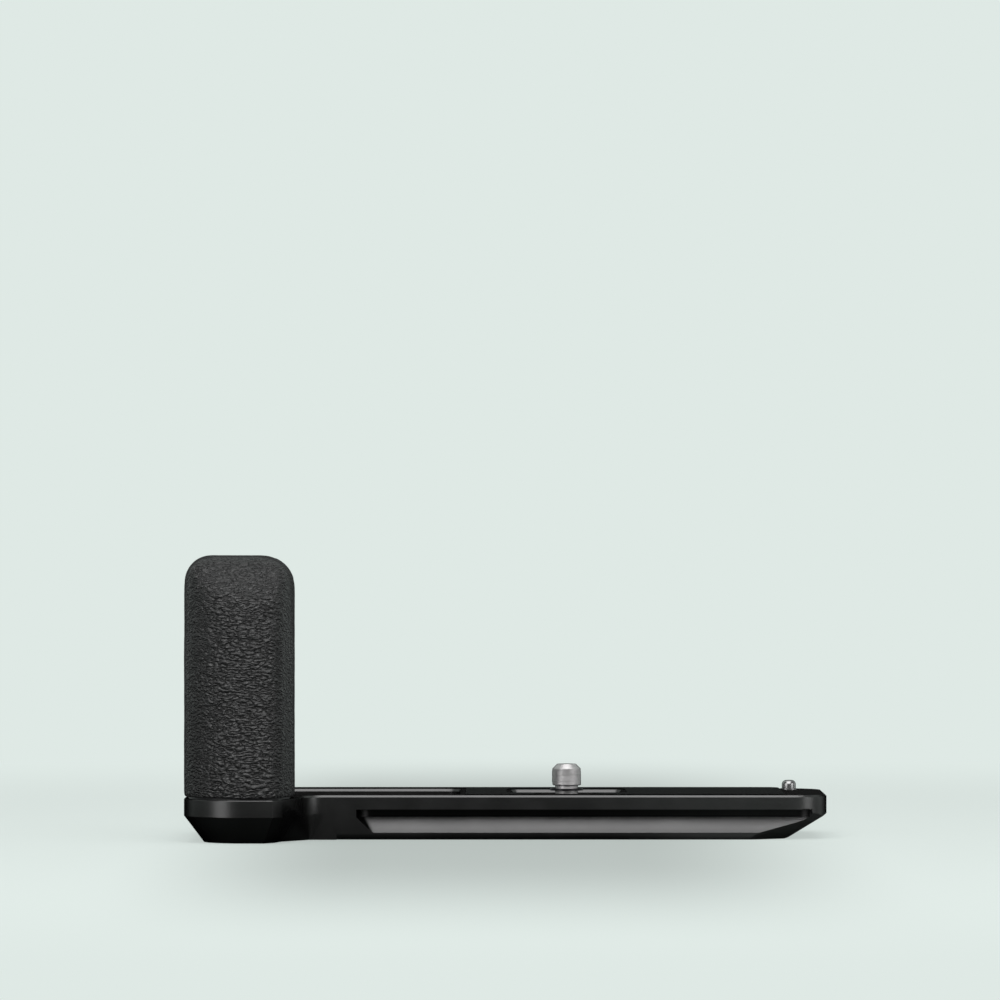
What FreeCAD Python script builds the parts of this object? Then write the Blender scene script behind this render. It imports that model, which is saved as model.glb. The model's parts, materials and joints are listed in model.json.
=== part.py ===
import FreeCAD, Part
import math
import os

# Camera hand grip: a machined base plate that screws under a camera, with an upright
# leather-covered handle in front of the camera body.
# Millimetres. X runs along the plate, away from the handle. Y runs from the front of the
# camera to its back. Z is up. The origin is where the camera screw's axis meets the seat.
# A depth is measured back from the plate's front face, so a negative depth is in front.

# Base plate
plate_right = 56.5
plate_depth = 38.0
plate_corner_radius = 8.0
metal_below_seat = 0.3
bottom_below_seat = 9.9
top_edge_chamfer = 0.4
bottom_edge_radius = 1.3
end_bevel_run = 8.9
end_bevel_start = 4.35
end_bevel_rounding = 3.0
corner_facet_run = 18.2
corner_facet_reach = 4.0
corner_facet_depth = 5.8

# Handle's place along the plate
handle_right = 58.9
handle_width = 23.8
handle_top = 51.8

# Dovetail grooves, front and back
groove_depth = 3.3
groove_ceiling = 3.35
groove_wall_height = 1.7
groove_cutter_radius = 4.0
groove_foot_gap = 13.1
groove_right_margin = 2.7

# Foot that carries the handle
foot_front = 20.8
foot_corner_radius = 13.0
foot_rear_radius = 12.0
foot_step = 0.25
foot_facet_inset = 2.25
foot_facet_run = 2.05
foot_facet_depth = 2.7
foot_flank_lean = 0.268
foot_fillet_radius = 5.3
foot_bevel_start = 4.2
foot_bevel_inset = 4.3
foot_flank_inset = 2.0
foot_flank_turn = 8.5
foot_heel_turnout = 0.5
foot_bottom_fillet = 0.6
foot_rear_straight = 0.7
foot_rear_facet = 10.0
foot_block_overlap = 8.9

# Battery door window through the plate
window_right = 23.3
window_length = 42.7
window_front_margin = 6.0
window_back_margin = 4.5
window_corner_radius = 3.0
window_chamfer = 0.5

# Camera screw and its pocket
screw_from_front = 20.0
pocket_length = 23.8
pocket_width = 20.0
pocket_corner_radius = 1.5
pocket_floor = 2.3
pocket_rim = 1.2
pocket_chamfer = 0.6
web_thickness = 2.2
screw_hole_clearance = 0.15
thread_diameter = 6.35
thread_length = 4.7
thread_above_ring = 0.7
thread_tip_chamfer = 1.1
thread_root_chamfer = 0.3
neck_diameter = 5.0
landing_clearance = 0.1
head_recess = 0.1
head_diameter = 14.6
head_thickness = 2.6
head_edge_chamfer = 0.35
head_clearance = 0.5
coin_slot_width = 1.8
coin_slot_depth = 1.4

# Retaining ring on the screw's neck, and the friction washer under its head
ring_outer_diameter = 7.3
ring_thickness = 0.4
ring_groove_depth = 0.35
ring_mouth = 3.6
ring_clearance = 0.04
washer_diameter = 12.4
washer_thickness = 0.5
washer_bore_clearance = 0.3

# Locating pin
pin_diameter = 3.1
pin_from_screw = 49.2
pin_from_front = 30.0
pin_height = 1.85
pin_dome_radius = 1.1
pin_dome_steps = 3
pin_shank_diameter = 3.6
pin_seat_depth = 5.0

# Tripod socket bush, held by a grub screw from the back groove
bush_from_screw = 21.0
bush_diameter = 10.0
bush_flange_diameter = 12.6
bush_flange_thickness = 1.2
bush_bore_diameter = 6.4
bush_bore_depth = 6.6
bush_mouth_chamfer = 0.5
bush_below_flush = 0.1
grub_diameter = 2.0
grub_length = 5.0
grub_below_ceiling = 1.05

# Seat pad
pad_thickness = 0.6
pad_margin = 0.9
pad_pin_gap = 0.3
pad_left_margin = 3.2
pad_window_margin = 1.2
pad_corner_radius = 3.0
pad_notch_outer = 15.2
pad_notch_inner = 10.6
pad_clearance = 0.1

# Handle's form and its layers
handle_rear_gap = 0.4
handle_rear_radius = 3.4
handle_rear_top_radius = 4.2
handle_edge_radius = 2.4
handle_slope_rise = 9.5
handle_slope_run = 8.5
handle_slope_rounding = 7.0
handle_top_left_radius = 5.8
handle_top_right_radius = 7.2
seam_gap = 0.15
skin_thickness = 0.9
glue_gap = 0.05
core_wall = 2.2
core_floor = 9.0
core_rib_thickness = 1.6
core_rib_count = 2
core_rib_gap = 1.5
cover_thickness = 2.0
cover_gap = 0.1
back_pad_thickness = 0.8
back_pad_recess = 0.5
back_pad_margin = 2.2
back_pad_corner_radius = 3.2

# Handle fasteners
handle_screw_diameter = 3.0
handle_screw_length = 13.0
handle_screw_head = 5.6
handle_screw_sink = 0.15
handle_screw_clearance = 0.2
handle_screw_from_front = 8.0
handle_screw_spacing = 6.9
hex_socket_width = 2.0
hex_socket_depth = 1.0
insert_diameter = 4.4
insert_length = 5.0
cover_screw_diameter = 1.6
cover_screw_length = 5.0
cover_screw_head = 2.8
cover_screw_head_height = 0.7
cover_screw_clearance = 0.15
cover_screw_inset = 4.6
cover_screw_low = 6.0
cover_screw_below_top = 6.6
post_wall = 1.4

# General
fit_gap = 0.02
cut_margin = 5.0
block_size = 160.0
length_tolerance = 0.0001
straight_corner = math.radians(89.9)

metal_top = -metal_below_seat
plate_bottom = -bottom_below_seat
foot_top = metal_top - foot_step
plate_left = -handle_right - handle_width
foot_facet_end = handle_right + foot_facet_inset
foot_front_edge_end = foot_facet_end + foot_facet_run
foot_block_end = handle_right - foot_block_overlap
foot_rear_turn = plate_left + foot_rear_radius + foot_rear_straight
groove_left = -handle_right + groove_foot_gap
groove_right = plate_right - groove_right_margin
pocket_bottom = -pocket_floor
counterbore_top = pocket_bottom - web_thickness
head_top = counterbore_top - washer_thickness
screw_travel = head_top - head_thickness - plate_bottom - head_recess
neck_radius = neck_diameter / 2
thread_radius = thread_diameter / 2
ring_low = pocket_bottom + screw_travel + landing_clearance
thread_bottom = ring_low + ring_thickness + thread_above_ring
thread_top = thread_bottom + thread_length
handle_screw_x = plate_left + handle_width / 2
grub_z = -groove_ceiling - grub_below_ceiling
handle_rear = -handle_rear_gap
cover_front = handle_rear - cover_thickness


def point(x, depth, z):
    return FreeCAD.Vector(x, depth - screw_from_front, z)


def rounded_wire(points, radii):
    """A closed wire through points of one plane, each corner rounded by its radius."""
    arcs = []
    count = len(points)
    for i in range(count):
        here = points[i]
        back = (points[i - 1] - here).normalize()
        ahead = (points[(i + 1) % count] - here).normalize()
        half = back.getAngle(ahead) / 2
        if radii[i] <= 0 or half > straight_corner:
            arcs.append((here, None, here))
            continue
        reach = radii[i] / math.tan(half)
        bisector = (back + ahead).normalize()
        middle = here + bisector * (radii[i] / math.sin(half) - radii[i])
        arcs.append((here + back * reach, middle, here + ahead * reach))
    edges = []
    for i in range(count):
        begin, middle, end = arcs[i]
        if middle is not None:
            edges.append(Part.Arc(begin, middle, end).toShape())
        following = arcs[(i + 1) % count][0]
        if end.distanceToPoint(following) > length_tolerance:
            edges.append(Part.LineSegment(end, following).toShape())
    return Part.Wire(edges)


def outline(corners, z):
    """A level wire through (x, depth, radius) corners."""
    points = [point(x, depth, z) for x, depth, radius in corners]
    return rounded_wire(points, [radius for x, depth, radius in corners])


def prism(corners, low, high):
    """The outline's solid between two heights."""
    return Part.Face(outline(corners, low)).extrude(FreeCAD.Vector(0, 0, high - low))


def rectangle(left, right, front, back, radius):
    return [(left, front, radius), (right, front, radius), (right, back, radius), (left, back, radius)]


def cylinder(x, depth, low, high, radius):
    return Part.makeCylinder(radius, high - low, point(x, depth, low))


def cone(x, depth, low, high, low_radius, high_radius):
    return Part.makeCone(low_radius, high_radius, high - low, point(x, depth, low))


def revolved(x, depth, profile):
    """A solid turned about a vertical axis from (radius, z) points."""
    points = [point(x + radius, depth, z) for radius, z in profile]
    wire = Part.makePolygon(points + [points[0]])
    return Part.Face(wire).revolve(point(x, depth, 0), FreeCAD.Vector(0, 0, 1), 360)


def beyond_plane(first, second, third, outside):
    """A thick block on the outer side of the plane through three points."""
    size = block_size
    normal = (second - first).cross(third - first).normalize()
    if normal.dot(outside - first) < 0:
        normal = normal * -1
    across = (second - first).normalize()
    up = normal.cross(across)
    corners = [
        first + across * size + up * size,
        first - across * size + up * size,
        first - across * size - up * size,
        first + across * size - up * size,
    ]
    face = Part.Face(Part.makePolygon(corners + [corners[0]]))
    return face.extrude(normal * size)


def foot_flank(depth):
    """X of the foot's right flank at a depth."""
    start = -foot_front + foot_facet_depth
    return -foot_facet_end + foot_flank_lean * (depth - start)


def foot_outline():
    """Plan of the left end and the foot, above the bevel."""
    turn = -foot_flank_turn
    return [
        (plate_left, -foot_front, foot_corner_radius),
        (-foot_front_edge_end, -foot_front, 0),
        (-foot_facet_end, -foot_front + foot_facet_depth, 0),
        (foot_flank(turn), turn, 0),
        (foot_flank(0), 0, foot_fillet_radius),
        (-foot_block_end, 0, 0),
        (-foot_block_end, plate_depth, 0),
        (foot_rear_turn + foot_rear_facet, plate_depth, 0),
        (foot_rear_turn, plate_depth, 0),
        (plate_left, plate_depth, foot_rear_radius),
    ]


def foot_bottom_outline():
    """Plan of the left end and the foot on the bottom face, inside the bevel."""
    inset = foot_bevel_inset
    left = plate_left + inset
    front = -foot_front + inset
    turn = -foot_flank_turn
    facet_x = -foot_facet_end - foot_flank_inset
    facet_depth = front + foot_facet_depth
    edge_x = facet_x - foot_facet_run
    return [
        (left, front, foot_corner_radius - inset),
        (edge_x, front, 0),
        (facet_x, facet_depth, 0),
        (facet_x + foot_flank_lean * (turn - facet_depth), turn, 0),
        (foot_flank(0) + foot_heel_turnout, 0, foot_bottom_fillet),
        (-foot_block_end, 0, 0),
        (-foot_block_end, plate_depth, 0),
        (foot_rear_turn + foot_rear_facet, plate_depth, 0),
        (foot_rear_turn, plate_depth - inset, 0),
        (left, plate_depth - inset, foot_rear_radius - inset),
    ]


def foot_block():
    """The left end of the plate with the foot in front of it and the bevel under both."""
    bevel_top = -foot_bevel_start
    upper = prism(foot_outline(), bevel_top, metal_top)
    wires = [outline(foot_bottom_outline(), plate_bottom), outline(foot_outline(), bevel_top)]
    lower = Part.makeLoft(wires, True, True)
    return upper.fuse(lower)


def plate_section():
    """The plate's section across its length, with rounded bottom edges."""
    radius = bottom_edge_radius
    slant = radius * (1 - math.sqrt(0.5))
    x = -foot_block_end - cut_margin / 2
    low = plate_bottom
    back = plate_depth
    edges = [
        Part.LineSegment(point(x, 0, metal_top), point(x, back, metal_top)).toShape(),
        Part.LineSegment(point(x, back, metal_top), point(x, back, low + radius)).toShape(),
        Part.Arc(
            point(x, back, low + radius),
            point(x, back - slant, low + slant),
            point(x, back - radius, low),
        ).toShape(),
        Part.LineSegment(point(x, back - radius, low), point(x, radius, low)).toShape(),
        Part.Arc(point(x, radius, low), point(x, slant, low + slant), point(x, 0, low + radius)).toShape(),
        Part.LineSegment(point(x, 0, low + radius), point(x, 0, metal_top)).toShape(),
    ]
    return Part.Face(Part.Wire(edges)), x


def end_profile(x):
    """The plate as seen from the front, from a place near the foot to its bevelled right end."""
    points = [
        point(x, -cut_margin, plate_bottom),
        point(plate_right - end_bevel_run, -cut_margin, plate_bottom),
        point(plate_right, -cut_margin, -end_bevel_start),
        point(plate_right, -cut_margin, metal_top),
        point(x, -cut_margin, metal_top),
    ]
    face = Part.Face(rounded_wire(points, [0, end_bevel_rounding, 0, 0, 0]))
    return face.extrude(FreeCAD.Vector(0, plate_depth + 2 * cut_margin, 0))


def plate_slab():
    """The straight plate, its rounded right corners and the bevel and facets of its right end."""
    face, x = plate_section()
    slab = face.extrude(FreeCAD.Vector(plate_right - x, 0, 0))
    radius = plate_corner_radius
    plan = [
        (x - cut_margin, 0, 0),
        (plate_right, 0, radius),
        (plate_right, plate_depth, radius),
        (x - cut_margin, plate_depth, 0),
    ]
    slab = slab.common(prism(plan, plate_bottom - cut_margin, metal_top + cut_margin))
    slab = slab.common(end_profile(x))
    bevel_foot = plate_right - end_bevel_run
    for face_depth, inward in ((0, 1), (plate_depth, -1)):
        slab = slab.cut(
            beyond_plane(
                point(plate_right - corner_facet_run, face_depth, plate_bottom),
                point(plate_right - corner_facet_reach, face_depth, -groove_ceiling),
                point(bevel_foot, face_depth + inward * corner_facet_depth, plate_bottom),
                point(plate_right + cut_margin, face_depth - inward * cut_margin, plate_bottom),
            )
        )
    return slab


def groove_cutter(face_depth, inward):
    """A dovetail groove along one long face, ending in the round of its cutter."""
    axis_depth = face_depth + inward * (groove_depth - groove_cutter_radius)
    ceiling = -groove_ceiling
    wall_low = ceiling - groove_wall_height
    radius = groove_cutter_radius
    left = groove_left + radius
    right = groove_right - radius
    profile = [(0, ceiling), (radius, ceiling), (radius, wall_low), (0, wall_low - radius)]
    corners = [point(left, axis_depth + inward * r, z) for r, z in profile]
    straight = Part.Face(Part.makePolygon(corners + [corners[0]]))
    cutter = straight.extrude(FreeCAD.Vector(right - left, 0, 0))
    for x in (left, right):
        cutter = cutter.fuse(revolved(x, axis_depth, profile))
    return cutter


def window_outline(grow):
    return rectangle(
        -window_right - window_length - grow,
        -window_right + grow,
        window_front_margin - grow,
        plate_depth - window_back_margin + grow,
        window_corner_radius + grow,
    )


def window_cutter():
    """The window with a chamfered rim at its top."""
    low = plate_bottom
    through = prism(window_outline(0), low - cut_margin, metal_top + cut_margin)
    top_rim = Part.makeLoft(
        [
            outline(window_outline(0), metal_top - window_chamfer),
            outline(window_outline(window_chamfer), metal_top),
        ],
        True,
        True,
    )
    return through.fuse(top_rim)


def pocket_outline(grow):
    return rectangle(
        -pocket_length / 2 - grow,
        pocket_length / 2 + grow,
        screw_from_front - pocket_width / 2 - grow,
        screw_from_front + pocket_width / 2 + grow,
        pocket_corner_radius + grow,
    )


def pocket_cutter():
    """The screw pocket with a chamfered edge at its top."""
    edge = Part.makeLoft(
        [
            outline(pocket_outline(0), metal_top - pocket_chamfer),
            outline(pocket_outline(pocket_chamfer), metal_top),
        ],
        True,
        True,
    )
    return prism(pocket_outline(0), pocket_bottom, cut_margin).fuse(edge)


def pad_blank(grow):
    """The seat pad's outer shape: a sheet that goes round the window on three sides."""
    left = plate_left + pad_left_margin - grow
    right = pin_from_screw - pin_shank_diameter / 2 - pad_pin_gap + grow
    front = pad_margin - grow
    back = plate_depth - pad_margin + grow
    window_left = -window_right - window_length
    inner_left = window_left - pad_window_margin + grow
    inner_right = -window_right + pad_window_margin - grow
    inner_back = plate_depth - window_back_margin + pad_window_margin - grow
    rear_radius = foot_rear_radius - pad_left_margin + grow
    return [
        (left, front, pad_corner_radius + grow),
        (inner_left, front, 0),
        (inner_left, inner_back, 0),
        (inner_right, inner_back, 0),
        (inner_right, front, 0),
        (right, front, pad_corner_radius + grow),
        (right, back, pad_corner_radius + grow),
        (left, back, rear_radius),
    ]


def pad_notch():
    """The gap in the pad between the pocket and the plate's front edge."""
    inner = pad_notch_inner / 2
    outer = pad_notch_outer / 2
    back = screw_from_front
    pocket_front = screw_from_front - pocket_width / 2
    return [
        (-outer, -cut_margin, 0),
        (outer, -cut_margin, 0),
        (outer, pad_margin, 0),
        (inner, pocket_front, 0),
        (inner, back, 0),
        (-inner, back, 0),
        (-inner, pocket_front, 0),
        (-outer, pad_margin, 0),
    ]


def handle_screw_places():
    front = -foot_front + handle_screw_from_front
    return [(handle_screw_x, front), (handle_screw_x, front + handle_screw_spacing)]


def countersink_depth():
    return (handle_screw_head - handle_screw_diameter) / 2


def foot_step_outline():
    """The part of the foot's top that is set down for the handle."""
    left = plate_left - cut_margin
    right = -handle_right + seam_gap
    return rectangle(left, right, -foot_front - cut_margin, -handle_rear_gap / 2, 0)


def chamfered_top(body):
    """The base with its outer top edges chamfered."""
    top_edges = []
    for edge in body.Edges:
        if edge.BoundBox.ZMin > metal_top - length_tolerance:
            top_edges.append(edge)
    return body.makeChamfer(top_edge_chamfer, top_edges)


def base_plate():
    """Plate and foot, machined from one piece of aluminium."""
    body = plate_slab().fuse(foot_block()).removeSplitter()
    body = chamfered_top(body)
    cutters = [groove_cutter(0, 1), groove_cutter(plate_depth, -1), window_cutter()]
    recess = prism(pad_blank(pad_clearance), -pad_thickness, metal_top + cut_margin)
    rim = pocket_outline(pocket_rim - pad_clearance)
    for kept in (pad_notch(), rim):
        recess = recess.cut(prism(kept, -pad_thickness - cut_margin, cut_margin))
    cutters += [recess, pocket_cutter()]
    hole_radius = thread_radius + screw_hole_clearance
    cutters.append(cylinder(0, screw_from_front, plate_bottom - cut_margin, cut_margin, hole_radius))
    bore_radius = head_diameter / 2 + head_clearance
    cutters.append(
        cylinder(0, screw_from_front, plate_bottom - cut_margin, counterbore_top, bore_radius)
    )
    cutters.append(
        cylinder(
            bush_from_screw,
            screw_from_front,
            plate_bottom - cut_margin,
            cut_margin,
            bush_diameter / 2 + fit_gap,
        )
    )
    cutters.append(
        cylinder(
            bush_from_screw,
            screw_from_front,
            -pad_thickness - bush_flange_thickness,
            cut_margin,
            bush_flange_diameter / 2 + fit_gap,
        )
    )
    cutters.append(grub_hole())
    pin_low = metal_top - pin_seat_depth
    cutters.append(
        cylinder(pin_from_screw, pin_from_front, pin_low, cut_margin, pin_shank_diameter / 2 + fit_gap)
    )
    cutters.append(prism(foot_step_outline(), foot_top, cut_margin))
    for x, depth in handle_screw_places():
        radius = handle_screw_diameter / 2 + handle_screw_clearance
        cutters.append(cylinder(x, depth, plate_bottom - cut_margin, cut_margin, radius))
        head = handle_screw_head / 2 + handle_screw_clearance + handle_screw_sink
        top = plate_bottom + handle_screw_sink + countersink_depth()
        low = plate_bottom - cut_margin
        cutters.append(cone(x, depth, low, top, head + cut_margin, radius))
    for cutter in cutters:
        body = body.cut(cutter)
    return body.removeSplitter()


def plan_line(x, depth, lean, grow):
    """A line of the plan moved outwards: x at a depth, and the change of x per depth."""
    return x + grow * math.sqrt(1 + lean ** 2), depth, lean


def crossing(first, second):
    """Where two plan lines meet."""
    x1, depth1, lean1 = first
    x2, depth2, lean2 = second
    depth = (x2 - x1 + lean1 * depth1 - lean2 * depth2) / (lean1 - lean2)
    return x1 + lean1 * (depth - depth1), depth


def handle_outline(grow, rear):
    """Plan of the handle: a broad round at the outer front and a slanted inner flank."""
    left = plate_left - grow
    right = -handle_right + grow
    front = -foot_front - grow
    facet_depth = -foot_front + foot_facet_depth
    facet_lean = foot_facet_run / foot_facet_depth
    facet = plan_line(-foot_facet_end, facet_depth, facet_lean, grow)
    flank = plan_line(-foot_facet_end, facet_depth, foot_flank_lean, grow)
    facet_start = facet[0] + facet_lean * (front - facet_depth)
    facet_end = crossing(facet, flank)
    flank_end = facet_depth + (right - flank[0]) / foot_flank_lean
    return [
        (left, front, foot_corner_radius + grow),
        (facet_start, front, handle_edge_radius + grow),
        (facet_end[0], facet_end[1], handle_edge_radius + grow),
        (right, flank_end, handle_edge_radius + grow),
        (right, rear, handle_rear_radius + grow),
        (left, rear, handle_rear_radius + grow),
    ]


def front_profile(grow):
    """The handle as seen from the front, carried back through its whole depth."""
    left = plate_left - grow
    right = -handle_right + grow
    top = handle_top + grow
    low = plate_bottom - cut_margin
    start = -foot_front - cut_margin
    points = [
        point(left, start, low),
        point(right, start, low),
        point(right, start, top),
        point(left, start, top),
    ]
    radii = [0, 0, handle_top_right_radius + grow, handle_top_left_radius + grow]
    face = Part.Face(rounded_wire(points, radii))
    return face.extrude(FreeCAD.Vector(0, foot_front + 2 * cut_margin, 0))


def side_profile(grow, rear):
    """The handle as seen from its side: a sloped top front, carried across its width."""
    front = -foot_front - grow
    top = handle_top + grow
    low = plate_bottom - cut_margin
    start = plate_left - cut_margin
    slope = math.atan2(handle_slope_rise, handle_slope_run)
    # Moving a slope outwards by grow raises its foot and its head along the two lines it joins.
    foot_rise = grow * (1 - math.sin(slope)) / math.cos(slope)
    head_run = grow * (1 - math.cos(slope)) / math.sin(slope)
    points = [
        point(start, front, low),
        point(start, front, handle_top - handle_slope_rise + foot_rise),
        point(start, -foot_front + handle_slope_run - head_run, top),
        point(start, rear, top),
        point(start, rear, low),
    ]
    rounding = handle_slope_rounding + grow
    radii = [0, rounding, rounding, handle_rear_top_radius + grow, 0]
    face = Part.Face(rounded_wire(points, radii))
    return face.extrude(FreeCAD.Vector(handle_width + 2 * cut_margin, 0, 0))


def handle_form(grow, low, rear):
    """The handle's body, moved outwards by grow, from a height up to its rounded top."""
    body = prism(handle_outline(grow, rear), low, handle_top + cut_margin)
    return body.common(front_profile(grow)).common(side_profile(grow, rear))


def in_front_of(body, depth):
    """What of a body lies in front of a depth."""
    corner = point(plate_left - cut_margin, depth - block_size, -block_size / 2)
    return body.common(Part.makeBox(block_size, block_size, block_size, corner))


def behind(body, depth):
    """What of a body lies behind a depth."""
    corner = point(plate_left - cut_margin, depth, -block_size / 2)
    return body.common(Part.makeBox(block_size, block_size, block_size, corner))


def cover_screw_places():
    return [
        (plate_left + cover_screw_inset, cover_screw_low),
        (-handle_right - cover_screw_inset, handle_top - cover_screw_below_top),
    ]


def level_cylinder(x, depth, z, length, radius):
    """A cylinder that runs back from a depth."""
    return Part.makeCylinder(radius, length, point(x, depth, z), FreeCAD.Vector(0, 1, 0))


def cover_screw_seat():
    """The depth at which a cover screw's head begins."""
    return handle_rear - back_pad_recess - cover_screw_head_height - cover_screw_clearance


def countersunk_head(x, z, clearance, height):
    """The cone of a cover screw's head, grown all round, from its seat up to a height above it."""
    shank = cover_screw_diameter / 2
    spread = (cover_screw_head / 2 - shank) / cover_screw_head_height
    low_radius = shank + clearance
    high_radius = low_radius + spread * height
    seat = point(x, cover_screw_seat(), z)
    return Part.makeCone(low_radius, high_radius, height, seat, FreeCAD.Vector(0, 1, 0))


def handle_core():
    """The moulded core of the handle, open at the back behind a solid foot."""
    grow = -skin_thickness - glue_gap
    outer = in_front_of(handle_form(grow, foot_top, handle_rear), cover_front)
    cavity_floor = foot_top + core_floor
    core = outer.cut(handle_form(grow - core_wall, cavity_floor, cut_margin))
    span = handle_top - core_wall - cavity_floor
    for i in range(core_rib_count):
        z = cavity_floor + span * (i + 1) / (core_rib_count + 1)
        front = -foot_front + skin_thickness + glue_gap
        room = core_rib_gap + cover_thickness - cover_gap
        plan = rectangle(plate_left, -handle_right, front, handle_rear - room, 0)
        core = core.fuse(prism(plan, z, z + core_rib_thickness).common(outer))
    post_radius = cover_screw_diameter / 2 + post_wall
    post_length = cover_screw_length + post_wall
    for x, z in cover_screw_places():
        post = level_cylinder(x, cover_front - post_length, z, post_length, post_radius)
        core = core.fuse(post.common(outer))
    for x, z in cover_screw_places():
        hole = cover_screw_diameter / 2 + fit_gap
        core = core.cut(level_cylinder(x, cover_front - cover_screw_length, z, post_length, hole))
    bore_top = max(foot_top + insert_length, plate_bottom + handle_screw_length + post_wall)
    for x, depth in handle_screw_places():
        core = core.cut(cylinder(x, depth, foot_top, bore_top, insert_diameter / 2 + fit_gap))
    return core.removeSplitter()


def handle_skin():
    """The leather covering: a sleeve that closes over the top and is open at the back."""
    low = foot_top + seam_gap
    outer = handle_form(0, low, handle_rear)
    inner = handle_form(-skin_thickness, low - cut_margin, cut_margin)
    return in_front_of(outer.cut(inner), cover_front)


def back_pad_prism(clearance, front, thickness):
    """The rounded rectangle of the back pad, laid against the cover."""
    left = plate_left + back_pad_margin - clearance
    right = -handle_right - back_pad_margin + clearance
    low = foot_top + back_pad_margin - clearance
    top = handle_top - back_pad_margin + clearance
    corners = [
        point(left, front, low),
        point(right, front, low),
        point(right, front, top),
        point(left, front, top),
    ]
    low_radius = back_pad_corner_radius + clearance
    face = Part.Face(
        rounded_wire(
            corners,
            [
                low_radius,
                low_radius,
                handle_top_right_radius - back_pad_margin + clearance,
                handle_top_left_radius - back_pad_margin + clearance,
            ],
        )
    )
    return face.extrude(FreeCAD.Vector(0, thickness, 0))


def handle_back_cover():
    """The plate that closes the back of the handle, sunk for the back pad."""
    cover = behind(handle_form(0, foot_top + seam_gap, handle_rear), cover_front + cover_gap)
    recess_front = handle_rear - back_pad_recess
    cover = cover.cut(back_pad_prism(pad_clearance, recess_front, cut_margin))
    for x, z in cover_screw_places():
        shank = cover_screw_diameter / 2 + cover_screw_clearance
        cover = cover.cut(level_cylinder(x, cover_front, z, cut_margin, shank))
        cover = cover.cut(countersunk_head(x, z, cover_screw_clearance, cut_margin))
    return cover


def handle_back_pad():
    """The soft pad that rests against the front of the camera."""
    return back_pad_prism(0, handle_rear - back_pad_recess, back_pad_thickness)


def cover_screws():
    """Small screws at two opposite corners that hold the back cover to the core."""
    seat = cover_screw_seat()
    screws = []
    for x, z in cover_screw_places():
        tip = cover_front - cover_screw_length + cover_screw_clearance
        shank = level_cylinder(x, tip, z, seat - tip, cover_screw_diameter / 2)
        head = countersunk_head(x, z, 0, cover_screw_head_height)
        screws.append(shank.fuse(head).removeSplitter())
    return Part.makeCompound(screws)


def core_inserts():
    """Threaded brass inserts in the bottom of the core."""
    inserts = []
    for x, depth in handle_screw_places():
        top = foot_top + insert_length
        body = cylinder(x, depth, foot_top, top, insert_diameter / 2)
        bore = handle_screw_diameter / 2 + fit_gap
        inserts.append(body.cut(cylinder(x, depth, foot_top - cut_margin, top + cut_margin, bore)))
    return Part.makeCompound(inserts)


def hexagon(x, depth, z, width):
    radius = width / math.sqrt(3)
    corners = []
    for i in range(6):
        angle = math.radians(60 * i)
        corners.append((x + radius * math.cos(angle), depth + radius * math.sin(angle), 0))
    return Part.Face(outline(corners, z))


def handle_screws():
    """Countersunk socket screws that hold the handle from below."""
    low = plate_bottom + handle_screw_sink
    screws = []
    for x, depth in handle_screw_places():
        radius = handle_screw_diameter / 2
        head = cone(x, depth, low, low + countersink_depth(), handle_screw_head / 2, radius)
        shank = cylinder(x, depth, low, low + handle_screw_length, radius)
        socket = hexagon(x, depth, low, hex_socket_width)
        socket = socket.extrude(FreeCAD.Vector(0, 0, hex_socket_depth))
        screws.append(head.fuse(shank).removeSplitter().cut(socket))
    return Part.makeCompound(screws)


def camera_screw():
    """The captive screw: thread, neck with a ring groove, and a coin-slotted head."""
    head_radius = head_diameter / 2
    head_low = head_top - head_thickness
    groove_radius = neck_radius - ring_groove_depth
    chamfer = head_edge_chamfer
    profile = [
        (0, head_low),
        (head_radius - chamfer, head_low),
        (head_radius, head_low + chamfer),
        (head_radius, head_top),
        (neck_radius, head_top),
        (neck_radius, ring_low - ring_clearance),
        (groove_radius, ring_low - ring_clearance),
        (groove_radius, ring_low + ring_thickness + ring_clearance),
        (neck_radius, ring_low + ring_thickness + ring_clearance),
        (neck_radius, thread_bottom),
        (thread_radius - thread_root_chamfer, thread_bottom),
        (thread_radius, thread_bottom + thread_root_chamfer),
        (thread_radius, thread_top - thread_tip_chamfer),
        (thread_radius - thread_tip_chamfer, thread_top),
        (0, thread_top),
    ]
    screw = revolved(0, screw_from_front, profile)
    half = coin_slot_width / 2
    front = screw_from_front
    slot = prism(
        rectangle(-head_diameter, head_diameter, front - half, front + half, 0),
        head_low - cut_margin,
        head_low + coin_slot_depth,
    )
    return screw.cut(slot)


def retaining_ring():
    """The open ring that keeps the screw in the plate."""
    low = ring_low
    high = low + ring_thickness
    bore = neck_radius - ring_groove_depth + ring_clearance
    ring = cylinder(0, screw_from_front, low, high, ring_outer_diameter / 2)
    ring = ring.cut(cylinder(0, screw_from_front, low - cut_margin, high + cut_margin, bore))
    half = ring_mouth / 2
    mouth = rectangle(-half, half, screw_from_front, screw_from_front + ring_outer_diameter, 0)
    return ring.cut(prism(mouth, low - cut_margin, high + cut_margin))


def friction_washer():
    """The soft washer between the screw's head and the plate."""
    low = head_top
    body = cylinder(0, screw_from_front, low, low + washer_thickness, washer_diameter / 2)
    bore = neck_radius + washer_bore_clearance
    return body.cut(cylinder(0, screw_from_front, low - cut_margin, cut_margin, bore))


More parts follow.
